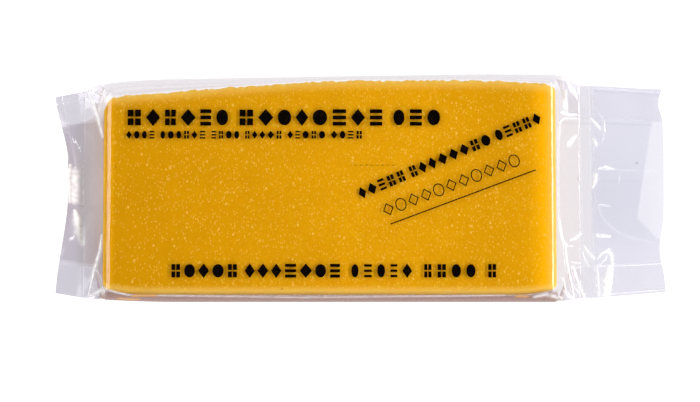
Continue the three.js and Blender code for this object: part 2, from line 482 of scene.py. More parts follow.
RIGHT_CREASES = [
    (0.35, 0.85, 0, 0, [(86.4, 27.6, 0.35), (80.6, 27.2, 0.4), (79.2, 25.6, 0.4), (78.6, 20, 0.4)]),
    (0.15, 0.3, 0, 0, [(78.6, 20, 0.45), (78.1, 2.8, 0.5), (78.5, -13, 0.45)]),
    (0.35, 0.85, 0, 0, [(78.5, -13, 0.4), (79.8, -20.6, 0.4), (81.8, -23.3, 0.5), (84.2, -23.2, 0.3)]),
    (0.3, 0.9, 0, 0, [(79.9, 29.6, 0.7), (83, 28.9, 0.8), (86.6, 29.2, 0.4)]),
    (0.3, 0.9, 0, 0, [(81.9, 38.6, 0.3), (81.6, 34.5, 0.8), (81.6, 31.4, 1.1)]),
    (0.5, 0.9, 0, 0, [(83, 17, 0.9), (84.6, 19.2, 0.9), (86, 20.8, 0.4)]),
    (0.12, 0.3, 0, 0, [(87.3, 39.8, 0.25), (88, 0, 0.25), (88.7, -43, 0.25)]),
    (0.15, 0.4, 0, 0, [(91.4, 40.6, 0.3), (92, 0, 0.3), (93, -43, 0.3)]),
    (0.12, 0.3, 0, 0, [(92.6, 40.6, 0.25), (93.3, 0, 0.25), (94.2, -30, 0.25)]),
    (0.12, 0.35, 0, 0, [(94, 39.9, 0.4), (120.4, 38.9, 0.4)]),
    (-0.1, 0, 0.06, 0, [(94, 38.8, 0.4), (119.6, 37.9, 0.4)]),
    (0.08, 0.2, 0, 0, [(98.3, 27.6, 0.25), (117, 27.5, 0.25)]),
    (-0.1, 0, 0.06, 0, [(80.4, 25.6, 0.6), (117, 25.8, 0.6)]),
    (0.25, 0.85, 0, 0, [(94, -31.3, 0.35), (119.8, -30, 0.35)]),
    (0.2, 0.75, 0, 0, [(95.5, -42.6, 0.3), (104, -41.8, 0.3), (120.6, -40.3, 0.35)]),
    (0.2, 0.2, 0, 0, [(93.7, -4.4, 0.5), (95.9, -11.1, 0.5), (99.9, -15.9, 0.5),
                      (105, -18.7, 0.5), (110.6, -20.3, 0.4), (118.1, -21.9, 0.4)]),
    (0.5, 0.95, 0, 0, [(91.7, 28.2, 0.4), (93.4, 26, 0.9), (95.6, 23.4, 0.5)]),
    (0.2, 0.25, 0, 0, [(94.6, 31, 0.5), (97.1, 27, 0.5), (97.3, 22, 0.5), (96, 18, 0.4)]),
    (0.5, 0.95, 0, 0, [(93, 19.6, 0.8), (93.9, 17.2, 0.9)]),
    (0.4, 0.95, 0, 0, [(94.6, 7.6, 0.3), (97.5, 8.4, 0.7), (101.2, 7.6, 0.3)]),
    (0.12, 0.35, 0, 0, [(94, 7.2, 0.3), (104, 7.4, 0.2), (119, 6.6, 0.2)]),
    (0.5, 0.95, 0, 0, [(93.8, 5.4, 0.9), (93.3, 2.5, 1.1), (92.6, 0.2, 0.5)]),
    (0.1, 0.6, 0, 0, [(103.3, 4.8, 0.25), (103.3, 2.6, 0.25)]),
    (0.3, 0.8, 0, 0, [(94.6, -6.7, 0.45), (99.4, -7.1, 0.25)]),
    (0.5, 0.95, 0, 0, [(94, -18.9, 0.9), (96.5, -19, 1), (99, -19.4, 0.4)]),
    (0.5, 0.85, 0, 0, [(83.6, -20.8, 0.4), (85.6, -19.9, 0.8), (87.6, -18.2, 0.5)]),
    (0.5, 0.85, 0, 0, [(88.7, -22.9, 0.5), (90.4, -25.6, 0.8), (92.6, -27.8, 0.9)]),
    (0.4, 0.6, 0, 0, [(87.6, -24.8, 0.4), (89.2, -28.6, 0.6), (90.6, -30.8, 0.4)]),
    (0.5, 0.95, 0, 0, [(93.8, -28.4, 0.4), (96, -26, 0.6), (98.4, -24.8, 0.8),
                       (99.8, -27, 0.8), (99.8, -30.8, 0.6)]),
    (0.3, 0.7, 0, 0, [(94.8, -30.6, 0.4), (96.8, -28.8, 0.5), (98, -26.8, 0.4)]),
    (0.9, 1, 0, 0, [(98.8, -31.6, 1), (97.9, -36, 2.2), (97.2, -41.6, 1.7)]),
    (0.4, 0.85, 0, 0, [(93.8, -31, 0.4), (94.6, -42.8, 0.6)]),
    (0.5, 0.7, 0, 0, [(80.8, -22.6, 0.6), (81.4, -29, 0.6), (84.6, -43.4, 0.5)]),
    (0.5, 0.75, 0, 0, [(84.2, -31.6, 0.6), (86, -37, 0.8), (88.6, -43.6, 0.6)]),
    (0.3, 0.7, 0, 0, [(83.6, -29.7, 0.4), (87.9, -29.9, 0.4)]),
    (0.2, 0.5, 0, 0, [(83.4, -31.8, 0.3), (88, -31.9, 0.3)]),
    (0.6, 0.75, 0, 0, [(68, -43.4, 0.5), (73, -42.4, 0.9), (79, -43.8, 0.8)]),
    (0.4, 0.6, 0, 0, [(80, -36, 0.4), (81, -41, 0.6), (84, -44, 0.5)]),
    (0, 0, 0.3, 0, [(110.3, 10.3, 0.45), (110.6, 10, 0.45)]),
    (0, 0, 0.35, 0, [(86.7, 3.8, 0.3), (86.8, 3.6, 0.3)]),
    (-0.15, 0, 0.035, 0, [(95.6, 2.6, 0.4), (105, 2.9, 0.5), (114.4, 3, 0.3)]),
]
MIDDLE_CREASES = [
    (0.1, 0.3, 0, 0, [(-100.4, 38.4, 0.4), (-94.5, 39.6, 0.35), (-76.8, 39.8, 0.3)]),
    (0.1, 0.3, 0, 0, [(-90.6, 37.6, 0.3), (-98, 36.6, 0.3), (-101, 35.4, 0.3)]),
    (0.1, 0.75, 0, 0, [(-98.7, -40.6, 0.35), (-94, -41.9, 0.4), (-89.6, -42.9, 0.3)]),
    (0.1, 0.5, 0, 0, [(-79.3, -42.9, 0.35), (-23.5, -43.6, 0.35), (35, -43.1, 0.35), (57, -42.8, 0.3)]),
    (0, 0, 0, 0.9, [(-89.2, -43, 0.4), (-79.4, -42.9, 0.4)]),
    (0, 0, 0, 0.6, [(-95.4, -43.9, 0.5), (-91, -44.3, 0.6), (-86.4, -44.2, 0.4)]),
    (0, 0, 0, 0.8, [(61, -43.1, 0.4), (70, -43.3, 0.5), (77, -43, 0.4)]),
]
LEFT_CREASES_END = -100  # x in millimetres, where the middle's creases take over
RIGHT_CREASES_START = 66

CREASE_WIDTH = 0.8  # by which every crease's width is scaled
CREASE_HIGHLIGHT = 0.9  # strength of the strongest painted highlight on a crease
CREASE_FAINTEST = 0.01  # nearness below which a crease isn't counted

# The creases' painted highlights are uneven, in patches of this size in millimetres
PATCH_SIZE = 1.6
PATCH_SEED = 9.1
PATCH_MEAN = 0.85
PATCH_SWING = 0.5


def along(path, x, y):
    """How near a place is to a crease's path: 1 on it, 0 away from it, from its nearest stretch"""
    best = 0.0
    for (x0, y0, w0), (x1, y1, w1) in zip(path, path[1:]):
        dx, dy = x1 - x0, y1 - y0
        share = min(1, max(0, ((x - x0) * dx + (y - y0) * dy) / (dx * dx + dy * dy)))
        gap = math.hypot(x - x0 - share * dx, y - y0 - share * dy) / (CREASE_WIDTH * lerp(w0, w1, share))
        best = max(best, math.exp(-gap * gap))
    return best


def creased(x, y):
    """What the creases give a place on the upper film: rise in metres, painted highlight, density and painted
    amber reflection
    """
    x, y = x / MM, y / MM
    creases = MIDDLE_CREASES
    if x < LEFT_CREASES_END:
        creases = LEFT_CREASES
    elif x > RIGHT_CREASES_START:
        creases = RIGHT_CREASES
    rise = highlight_share = dense = amber = 0.0
    for its_rise, its_highlight, its_density, its_amber, path in creases:
        near = along(path, x, y)
        if near > CREASE_FAINTEST:
            rise += its_rise * near
            highlight_share = max(highlight_share, its_highlight * near)
            dense += its_density * near
            amber = max(amber, its_amber * near)
    patchy = PATCH_MEAN + PATCH_SWING * noise.noise(Vector((x / PATCH_SIZE, y / PATCH_SIZE, PATCH_SEED)))
    return rise * MM, CREASE_HIGHLIGHT * highlight_share * min(1, patchy), dense, amber


def film_relief(x, y, amount):
    """Height of the film's own creases and soft waves"""
    crumple = ridges(x, y, **CRUMPLE) + FINE_CRUMPLE_SHARE * ridges(x, y, **FINE_CRUMPLE)
    wave = noise.noise(Vector((x / WAVE_SIZE[0], y / WAVE_SIZE[1], WAVE_SEED)))
    waves = WAVE_ON_TAIL * wave * past_block(x) + WAVE_ON_BLOCK * wave
    return amount * (crumple_share(x) * crumple + waves)


def film_point(x, across, up, film):
    """One point of the film from its place along, across (-1 to 1) and up (-1 to 1)"""
    upper = across >= 0
    edge = abs(wall_crease(x, upper))
    bulge = abs(outline(x, upper)) - edge
    turn = up * math.pi / 2
    lift = math.sin(turn)
    reach = edge + bulge * math.cos(turn) - gusset_tuck(x, upper) * (1 - abs(lift))
    y = across * reach
    place = min(1, max(-1, y / edge))
    film_height = BAG_HIGH.z - film.clearance
    relief = film_relief(x, y, film.crumple) * abs(lift)
    z = middle_height(x, place, film_height) + half_thickness(x, film_height) * lift + relief
    return Vector((x + drawn_back(x, place), y, max(z, FILM_LIFT)))


# The film's tones are how grey it looks, called its veil, and how warm that grey is, both from 0 to 1. The
# veil is partly the film's greyness and partly painted shade, the block's shadow seen through the film,
# strongest on the left tail and along the lower side; its warmth is a painted reflection of the paste.
# Where two values stand in a pair, the tone runs from the first to the second.
GUSSET_SOFTNESS = 0.3 * MM
BLOCK_SOFTNESS = (-1.2 * MM, 0.2 * MM)  # from inside the block's end, where the veil starts

# The left tail, with pairs that run from its outer edge to its weld
# Its grey is painted shade, the block's shadow seen through the film, and its warmth a painted reflection of
# the paste's end
LEFT_INWARDS = (-113 * MM, -104 * MM)  # x
LEFT_DOWNWARDS = (-8 * MM, -26 * MM)  # y
LEFT_TO_CORNER = (25 * MM, 32 * MM)  # y, towards the upper corner
LEFT_VEIL = (0.38, 0.37)
LEFT_LOW_VEIL = (0.35, 0.43)
LEFT_CORNER_VEIL = 0.19
LEFT_UPPER_GUSSET_VEIL = (0.17, 0.13)
LEFT_LOWER_GUSSET_VEIL = (0.21, 0.27)
LEFT_WARMTH = (0.45, 1.0)
LEFT_LOW_WARMTH = (0.4, 0.85)
LEFT_GUSSET_WARMTH = 0.35

# The right shoulder, weld and tail
RIGHT_SHOULDER_TONE = (0.15, 0.5)
RIGHT_WELD_VEIL = (0.145, 0.09)  # between the gussets, and in them
RIGHT_WELD_WARMTH = 0.4
RIGHT_WARMTH = 0.05
RIGHT_VEIL = 0.18
RIGHT_MIDDLE_VEIL = 0.03  # added round the tail's middle
RIGHT_MIDDLE = {"at": -5 * MM, "reach": 16 * MM}
RIGHT_DOWNWARDS = (-16 * MM, -26 * MM)  # y
RIGHT_LOW_VEIL = 0.17
RIGHT_PALE_VEIL = 0.12
RIGHT_UPPER_GUSSET_VEIL = 0.115
RIGHT_LOWER_GUSSET_VEIL = 0.09
PALE_SOFTNESS = (-0.3 * MM, 0.5 * MM)

# The film beside the block, grey with painted shade, which mirrors the paste on its lower side as a painted
# reflection
UPPER_SIDE_TONE = (0.18, 0.4)
LOWER_SIDE_TONE = (0.6, 1.0)
LOWER_SIDE_TOP_TONE = (0.26, 1.0)
LOWER_SIDE_TOP = 0.8  # place up the side wall, from -1 to 1, above which the top's tone holds
SIDE_TONE_END = 0.4  # share of the shoulder by which the side's tone has faded out

# y and x of points along the boundary of the right tail's paler outer part, in millimetres
PALE_EDGE = [
    (-21, 120),
    (-19, 117.8),
    (-15, 113.8),
    (-11.8, 110.6),
    (-0.6, 112.2),
    (10.2, 114),
    (25, 116.6),
    (36.2, 117.8),
]


def pale_edge(y):
    """x where the right tail's paler outer part starts, in metres"""
    y = y / MM
    for (y0, x0), (y1, x1) in zip(PALE_EDGE, PALE_EDGE[1:]):
        if y0 <= y <= y1:
            return lerp(x0, x1, (y - y0) / (y1 - y0)) * MM
    return BAG_RIGHT


def in_gusset(x, y):
    """1 where a tail's film is doubled by the tucked side wall, 0 elsewhere"""
    inner = abs(outline(x, y > 0)) - gusset_tuck(x, y > 0)
    return ramp(abs(y), inner - GUSSET_SOFTNESS, inner + GUSSET_SOFTNESS)


def left_tone(point, x):
    """The veil, which here is painted shade, and its warmth on the left shoulder and tail, one sheet at a time
    """
    inner = ramp(point.x, *LEFT_INWARDS)
    low = smooth(ramp(point.y, *LEFT_DOWNWARDS))
    corner = inner * smooth(ramp(point.y, *LEFT_TO_CORNER))
    single = lerp(lerp(*LEFT_VEIL, inner), lerp(*LEFT_LOW_VEIL, inner), low)
    single = lerp(single, LEFT_CORNER_VEIL, corner)
    warm = lerp(lerp(*LEFT_WARMTH, inner), lerp(*LEFT_LOW_WARMTH, inner), low)
    gusset = LEFT_UPPER_GUSSET_VEIL if point.y > 0 else LEFT_LOWER_GUSSET_VEIL
    share = in_gusset(x, point.y)
    return lerp(single, lerp(*gusset, inner), share), lerp(warm, LEFT_GUSSET_WARMTH, share)


def right_tone(point, x):
    """The veil and the warmth of the right shoulder, weld and tail, one sheet at a time"""
    if x < RIGHT_WELD:
        return RIGHT_SHOULDER_TONE
    if x < RIGHT_WELD_END:
        return lerp(*RIGHT_WELD_VEIL, in_gusset(x, point.y)), RIGHT_WELD_WARMTH
    middle = hump(point.y, **RIGHT_MIDDLE)
    low = smooth(ramp(point.y, *RIGHT_DOWNWARDS))
    pale = smooth(ramp(point.x - pale_edge(point.y), *PALE_SOFTNESS))
    single = lerp(RIGHT_VEIL + RIGHT_MIDDLE_VEIL * middle, RIGHT_LOW_VEIL, low)
    single = lerp(single, RIGHT_PALE_VEIL, pale)
    gusset = RIGHT_UPPER_GUSSET_VEIL if point.y > 0 else RIGHT_LOWER_GUSSET_VEIL
    return lerp(single, gusset, in_gusset(x, point.y)), RIGHT_WARMTH


def film_tone(point, x, across, up):
    """How much a sheet of the film hides under its veil of film greyness and painted shade, and how warm that
    grey is
    """
    if abs(up) < 1:
        veil, warm = UPPER_SIDE_TONE
        if across < 0:
            veil, warm = LOWER_SIDE_TONE if up < LOWER_SIDE_TOP else LOWER_SIDE_TOP_TONE
        return veil * (1 - ramp(past_block(x), 0, SIDE_TONE_END)), warm
    veil, warm = left_tone(point, x) if x < 0 else right_tone(point, x)
    clear_of_block = max(BLOCK_LEFT - x, x - BLOCK_RIGHT)
    return veil * smooth(ramp(clear_of_block, *BLOCK_SOFTNESS)), warm


class Socket:
    """A value in a material's nodes that can be used in sums"""

    def __init__(self, look, output):
        self.look = look
        self.output = output

    def maths(self, operation, first, second):
        """One step of arithmetic on two values"""
        return self.look.add("ShaderNodeMath", {"operation": operation}, {0: first, 1: second})

    def __add__(self, other):
        return self.maths("ADD", self, other)

    __radd__ = __add__

    def __sub__(self, other):
        return self.maths("SUBTRACT", self, other)

    def __rsub__(self, other):
        return self.maths("SUBTRACT", other, self)

    def __mul__(self, other):
        return self.maths("MULTIPLY", self, other)

    __rmul__ = __mul__

    def __pow__(self, other):
        return self.maths("POWER", self, other)


SPECK_CHANCE_STEP = 0.02  # over which a cell's chance of a speck goes from none to certain
SPECK_CORE = 0.3  # share of a speck's radius inside which it shows fully


class Look:
    """The nodes of one material or of the world"""

    def __init__(self, owner):
        owner.use_nodes = True
        self.tree = owner.node_tree
        self.tree.nodes.clear()

    def add(self, kind, settings=None, inputs=None, output=0):
        """Adds a node, sets it, feeds its sockets and gives one of its outputs"""
        node = self.tree.nodes.new(kind)
        for name, value in (settings or {}).items():
            setattr(node, name, value)
        for name, value in (inputs or {}).items():
            if isinstance(value, Socket):
                self.tree.links.new(value.output, node.inputs[name])
            else:
                node.inputs[name].default_value = value
        return Socket(self, node.outputs[output]) if node.outputs else node

    def places(self):
        """Places on the piece itself"""
        return self.add("ShaderNodeTexCoord", output="Object")

    def stretched(self, places, scale):
        """Places with each direction scaled"""
        return self.add("ShaderNodeMapping", {}, {"Vector": places, "Scale": scale})

    def grain(self, places, size, detail=2.0, roughness=0.5):
        """Soft noise with features of the given size"""
        inputs = {"Vector": places, "Scale": 1 / size, "Detail": detail, "Roughness": roughness}
        return self.add("ShaderNodeTexNoise", {}, inputs)

    def specks(self, places, spacing, radius, share, seed):
        """1 inside scattered soft specks, 0 outside: the given share of the cells hold one"""
        shifted = self.add("ShaderNodeVectorMath", {"operation": "ADD"}, {0: places, 1: (seed, seed, seed)})
        inputs = {"Vector": shifted, "Scale": 1 / spacing, "Randomness": 1.0}
        distance = self.add("ShaderNodeTexVoronoi", {}, inputs, "Distance")
        colour = self.add("ShaderNodeTexVoronoi", {}, inputs, "Color")
        chance = self.add("ShaderNodeSeparateColor", {}, {"Color": colour}, "Red")
        here = self.between(chance, 1 - share, 1 - share + SPECK_CHANCE_STEP)
        return here * self.between(distance, radius / spacing, SPECK_CORE * radius / spacing)

    def between(self, value, start, end, low=0.0, high=1.0):
        """A value eased from low at start to high at end"""
        settings = {"interpolation_type": "SMOOTHSTEP"}
        inputs = {"Value": value, "From Min": start, "From Max": end, "To Min": low, "To Max": high}
        return self.add("ShaderNodeMapRange", settings, inputs)

    def blend(self, share, first, second):
        """One colour fading into another"""
        colours = [value if isinstance(value, Socket) else (*value, 1) for value in (first, second)]
        return self.add("ShaderNodeMix", {"data_type": "RGBA"}, {0: share, 6: colours[0], 7: colours[1]}, 2)

    def attribute(self, name):
        """A value stored on the piece's own mesh"""
        return self.add("ShaderNodeAttribute", {"attribute_name": name}, {}, "Fac")

    def bump(self, height, strength, distance):
        """Small relief worked into the surface's normal"""
        inputs = {"Strength": strength, "Distance": distance, "Height": height}
        return self.add("ShaderNodeBump", {}, inputs)

    def finish(self, shader):
        """Sends the shader to the output"""
        self.add("ShaderNodeOutputMaterial", {}, {"Surface": shader})


def material(name):
    """An empty material and its nodes"""
    made = bpy.data.materials.new(name)
    return made, Look(made)


# The paste's grain, and its scattered specks of almond and few dark pores
GRAIN_STRETCH = (1.0, 0.75, 1.0)
FINE_GRAIN = 0.7 * MM
CLOUDS = 16 * MM
LARGE_SPECKS = {"spacing": 7 * MM, "radius": 1.0 * MM, "share": 0.22, "seed": 0.55}
FLECKS = {"spacing": 2.6 * MM, "radius": 0.62 * MM, "share": 0.42, "seed": 0.013}
FINE_SPECKS = {"spacing": 0.95 * MM, "radius": 0.42 * MM, "share": 0.6, "seed": 0.41}
PORES = {"spacing": 6 * MM, "radius": 0.5 * MM, "share": 0.16, "seed": 0.27}
SPECKS_SHOW = 0.5  # how strongly the large and the fine specks show
FLECKS_SHOW = 0.7
PORES_SHOW = 0.7
FLECK_HEIGHT = 0.5  # beside the grain's height
GRAIN_DEPTH = 0.12 * MM
LIGHT_DEPTH = 2.5 * MM  # how deep light spreads in the paste


def nougat_material(block):
    """Fine-grained yellow paste with pale almond specks and a few pores, with painted shade, painted light
    near its ends and a painted glow and highlight along its edges
    """
    made, look = material("nougat")
    places = look.places()
    upright = look.stretched(places, GRAIN_STRETCH)
    fine = look.grain(upright, FINE_GRAIN, detail=3.0, roughness=0.7)
    cloudy = look.grain(places, CLOUDS)
    large = look.specks(places, **LARGE_SPECKS)
    flecks = look.specks(upright, **FLECKS)
    specks = look.specks(upright, **FINE_SPECKS)
    pores = look.specks(places, **PORES)
    pale = look.between(fine, start=0.46, end=0.7, high=0.75)
    colour = look.blend(pale, block.body_colour, block.grain_colour)
    # Random mottling and painted shade, then painted light near the ends and a painted glow and highlight
    # along the edges
    shade = look.between(cloudy, start=0.35, end=0.7, high=0.14) + look.attribute("shade")
    colour = look.blend(shade, colour, block.mottle_and_shade_colour)
    colour = look.blend(look.attribute("lit"), colour, block.lit_colour)
    colour = look.blend(look.attribute("rim_glow"), colour, block.rim_glow_colour)
    colour = look.blend(specks * SPECKS_SHOW, colour, block.fleck_colour)
    colour = look.blend(flecks * FLECKS_SHOW, colour, block.fleck_colour)
    colour = look.blend(large * SPECKS_SHOW, colour, block.fleck_colour)
    colour = look.blend(pores * PORES_SHOW, colour, block.pore_colour)
    height = fine + flecks * FLECK_HEIGHT - pores
    inputs = {
        "Base Color": colour,
        "Roughness": look.between(fine, start=0.3, end=0.8, low=0.45, high=0.62),
        "Specular IOR Level": 0.03,
        "Subsurface Weight": 0.3,
        "Subsurface Radius": (1.0, 0.45, 0.08),
        "Subsurface Scale": LIGHT_DEPTH,
        "Normal": look.bump(height, strength=0.35, distance=GRAIN_DEPTH),
    }
    look.finish(look.add("ShaderNodeBsdfPrincipled", {}, inputs))
    return made


WRINKLE_STRETCH = (1.0, 0.4, 1.0)  # the film's fine wrinkles, longer across the bag
WRINKLE_SIZE = 3 * MM
WRINKLE_DEPTH = 0.15 * MM
EDGE_GLOSS_POWER = 4  # how fast the gloss grows towards film seen edge on


def film_material(film):
    """Thin clear glossy film, greyer, warmer or whiter where its attributes say so: painted shade, painted
    reflection of the paste and painted highlights
    """
    made, look = material("film")
    places = look.places()
    facing = look.add("ShaderNodeLayerWeight", {}, {"Blend": 0.5}, "Facing")
    wrinkles = look.grain(look.stretched(places, WRINKLE_STRETCH), WRINKLE_SIZE, detail=3.0)
    share = film.gloss_floor + film.gloss_edge * facing**EDGE_GLOSS_POWER
    clear = look.add("ShaderNodeBsdfTransparent", {}, {"Color": (*film.clear_colour, 1)})
    inputs = {
        "Color": (1.0, 1.0, 1.0, 1.0),
        "Roughness": film.gloss_roughness,
        "Normal": look.bump(wrinkles, strength=0.25, distance=WRINKLE_DEPTH),
    }
    gloss = look.add("ShaderNodeBsdfGlossy", {}, inputs)
    glossy = look.add("ShaderNodeMixShader", {}, {0: share, 1: clear, 2: gloss})
    # The veil layer: grey and warm painted shade, amber painted reflection of the paste and white painted
    # highlights
    grey = look.blend(look.attribute("warm"), film.cool_colour, film.warm_colour)
    grey = look.blend(look.attribute("amber"), grey, film.amber_colour)
    inputs = {
        "Base Color": look.blend(look.attribute("painted_highlight"), grey, film.painted_highlight_colour),
        "Roughness": 0.5,
        "Specular IOR Level": 0.1,
    }
    veil = look.add("ShaderNodeBsdfPrincipled", {}, inputs)
    look.finish(look.add("ShaderNodeMixShader", {}, {0: look.attribute("veil"), 1: glossy, 2: veil}))
    return made


INK_PATCHES = 1.2 * MM


def ink_material(ink):
    """Flat black ink, slightly uneven"""
    made, look = material("ink")
    places = look.places()
    uneven = look.grain(places, INK_PATCHES, detail=3.0)
    colour = look.blend(look.between(uneven, start=0.55, end=0.8, high=0.5), ink.colour, ink.thin_colour)
    inputs = {
        "Base Color": colour,
        "Roughness": look.between(uneven, start=0.3, end=0.7, low=0.4, high=0.55),
        "Specular IOR Level": 0.02,
    }
    look.finish(look.add("ShaderNodeBsdfPrincipled", {}, inputs))
    return made


def floor_material(stage):
    """A matt pale floor that gives off a little light, as a light table does"""
    made, look = material("floor")
    inputs = {
        "Base Color": (*stage.floor_colour, 1),
        "Roughness": 0.8,
        "Specular IOR Level": 0.0,
        "Emission Color": (1.0, 1.0, 1.0, 1.0),
        "Emission Strength": stage.floor_glow,
    }
    look.finish(look.add("ShaderNodeBsdfPrincipled", {}, inputs))
    return made


def piece(name, bm, finish, smooth_faces=True):
    """Makes a finished piece of a bmesh"""
    mesh = bpy.data.meshes.new(name)
    bm.to_mesh(mesh)
    bm.free()
    for face in mesh.polygons:
        face.use_smooth = smooth_faces
    mesh.materials.append(finish)
    made = bpy.data.objects.new(name, mesh)
    bpy.context.scene.collection.objects.link(made)
    return made


def stands_for_bag(made):
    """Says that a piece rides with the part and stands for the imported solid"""
    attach(made, "root")
    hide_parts("sealed_bag")


def cut_along(bm, axis, cuts):
    """Cuts the edges of a unit cube that run along one axis into even cells"""
    edges = [edge for edge in bm.edges if round(abs((edge.verts[1].co - edge.verts[0].co)[axis])) == 1]
    bmesh.ops.subdivide_edges(bm, edges=edges, cuts=cuts, use_grid_fill=True)


def rounded(point, half, radii):
    """Moves a point of a box's skin onto the same box with rounded edges"""
    inner = Vector()
    out = Vector()
    for axis, (reach, radius) in enumerate(zip(half, radii)):
        inner[axis] = min(reach - radius, max(radius - reach, point[axis]))
        out[axis] = (point[axis] - inner[axis]) / radius
    if out.length > 0:
        out.normalize()
    return inner + Vector([step * radius for step, radius in zip(out, radii)])


def block_point(corner, block):
    """A point of the block from its place on a cube that reaches from -0.5 to 0.5"""
    half = Vector((BLOCK_LENGTH, BLOCK_WIDTH, block.height)) / 2
    radii = (block.end_radius, block.side_radius, block.edge_radius)
    square = Vector([2 * place * reach for place, reach in zip(corner, half)])
    point = rounded(square, half, radii)
    x = lerp(BLOCK_LEFT - PASTE_SWELL, BLOCK_RIGHT, (point.x / half.x + 1) / 2)
    across = (point.y / half.y + 1) / 2
    worn = UPPER_LEFT_CUT * ramp(x, BLOCK_LEFT + UPPER_LEFT_CUT, BLOCK_LEFT) ** 2
    y = lerp(block_edge(x, False) - PASTE_SWELL, block_edge(x, True) - worn, across)
    return Vector((x, y, point.z + half.z + BLOCK_LIFT))


# The painted glow and highlight along each of the block's edges: how wide it is, how fast it fades inwards and
# how strong it is
RIM_GLOWS = {
    "upper": {"width": 5 * MM, "fade": 2, "strength": 0.95},
    "lower": {"width": 3.2 * MM, "fade": 1.3, "strength": 1.0},
    "right": {"width": 4.3 * MM, "fade": 1.3, "strength": 0.95},
    "left": {"width": 1.5 * MM, "fade": 2, "strength": 0.3},
}
RIGHT_RIM_GLOW_INSET = 0.5 * MM

# Painted light on the paste: a glow in a band short of the right end, and a painted highlight in a line along
# the left one
LIT_BAND = (12 * MM, 4 * MM)  # from the right end, where it starts and where it is full
LIT_BAND_END = (4.5 * MM, 1.5 * MM)
LIT_BAND_FADE = 1.5
LIT_BAND_STRENGTH = 0.9
LIT_LINE = {"at": BLOCK_LEFT + 2.5 * MM, "reach": 1.3 * MM}
LIT_LINE_STRENGTH = 0.35

# Painted shade on the paste: how strong it is towards the left end, in its lower corner and right of the
# middle
LEFT_SHADE = 0.6
LOW_LEFT_SHADE = 0.12
LOW_LEFT_START = -60 * MM
RIGHT_SHADE = 0.3
RIGHT_SHADE_START = (20 * MM, 55 * MM)
RIGHT_SHADE_END = (58 * MM, 70 * MM)

# Relief of the cut edge and of the faces: noise sizes, seeds and strengths
RAGGED_REACH = 2 * MM
RAGGED_SIZE = (5 * MM, 4 * MM)
RAGGED_SEED = 2.4
RAGGED_SHARE = 0.5
CRUMB_SIZE = (1.7 * MM, 1.9 * MM)
CRUMB_SEED = 7.7
FACE_WAVE = 9 * MM
FACE_WAVE_HEIGHT = 0.12 * MM


def painted_rim_glow(point):
    """How much painted glow and highlight shows at a place: 1 at the block's edges, 0 inside"""
    insets = {
        "upper": block_edge(point.x, True) - point.y,
        "lower": point.y - block_edge(point.x, False),
        "right": BLOCK_RIGHT - RIGHT_RIM_GLOW_INSET - point.x,
        "left": point.x - BLOCK_LEFT,
    }
    shown = 0.0
    for edge, rim_glow in RIM_GLOWS.items():
        shown += rim_glow["strength"] * ramp(insets[edge], rim_glow["width"], 0) ** rim_glow["fade"]
    return min(1, shown)


def near_lit(point):
    """How much painted light brightens the paste near its two ends"""
    inside = BLOCK_RIGHT - point.x
    band = ramp(inside, *LIT_BAND) ** LIT_BAND_FADE * (1 - ramp(inside, *LIT_BAND_END))
    return LIT_BAND_STRENGTH * band + LIT_LINE_STRENGTH * hump(point.x, **LIT_LINE)


def in_shade(point):
    """How much painted shade darkens the paste, towards the left and right of the middle"""
    left = ramp(point.x, 0, BLOCK_LEFT)
    low_left = ramp(point.x, LOW_LEFT_START, BLOCK_LEFT) * ramp(point.y, 0, -BLOCK_WIDTH / 2)
    right = smooth(ramp(point.x, *RIGHT_SHADE_START)) * (1 - ramp(point.x, *RIGHT_SHADE_END))
    return LEFT_SHADE * left + LOW_LEFT_SHADE * low_left + RIGHT_SHADE * right


def crumbs(point, depth):
    """Relief of the ragged cut edge and the slightly uneven faces, as a step in y and in z"""
    cut_edge = hump(point.y, block_edge(point.x, True), RAGGED_REACH)
    ragged = noise.noise(Vector((point.x / RAGGED_SIZE[0], point.z / RAGGED_SIZE[1], RAGGED_SEED)))
    small = noise.noise(Vector((point.x / CRUMB_SIZE[0], point.z / CRUMB_SIZE[1], CRUMB_SEED)))
    uneven = noise.noise(point / FACE_WAVE)
    return Vector((0, depth * cut_edge * (RAGGED_SHARE * ragged + small), FACE_WAVE_HEIGHT * uneven))


class NOUGAT_OT_block(bpy.types.Operator):
    """Makes the nougat block with its askew, crumbly cut edge"""

    bl_idname = "nougat.block"
    bl_label = "Nougat block"

    def execute(self, context):
        block = context.scene.nougat_block
        bm = bmesh.new()
        bmesh.ops.create_cube(bm, size=1)
        for axis, length in enumerate((BLOCK_LENGTH, BLOCK_WIDTH, block.height)):
            cut_along(bm, axis, round(length / block.cell) - 1)
        # The paste's painted glow and highlight along its edges, painted light near its ends and painted shade
        tones = {"rim_glow": painted_rim_glow, "lit": near_lit, "shade": in_shade}
        layers = {name: bm.verts.layers.float.new(name) for name in tones}
        for vert in bm.verts:
            point = block_point(vert.co, block)
            for name, tone in tones.items():
                vert[layers[name]] = tone(point)
            vert.co = point + crumbs(point, block.crumb_depth)
        bmesh.ops.recalc_face_normals(bm, faces=bm.faces)
        made = piece("nougat_block", bm, nougat_material(block))
        stands_for_bag(made)
        return {"FINISHED"}


# Cells of the film's mesh: round the bag, and along each stretch of its length
CELLS_ACROSS = 168
CELLS_UP = 28
CELLS_UNDER = 60
CELLS_LEFT_TAIL = 36
CELLS_LEFT_SHOULDER = 27
CELLS_BLOCK_END = 16
CELLS_BLOCK = 96
CELLS_RIGHT_SHOULDER = 31
CELLS_WELD = 13
CELLS_RIGHT_TAIL = 88
WHITE_START = 0.03  # share hidden below which a crease adds no painted highlight or amber tint to the film
FOLD_START = 0.25  # share of a shoulder past which the bag's edges and gussets are sharply folded
BLOCK_END = 5 * MM  # the finely divided stretch over each end of the block
MERGE_DISTANCE = 0.001 * MM  # within which the tube's seam closes


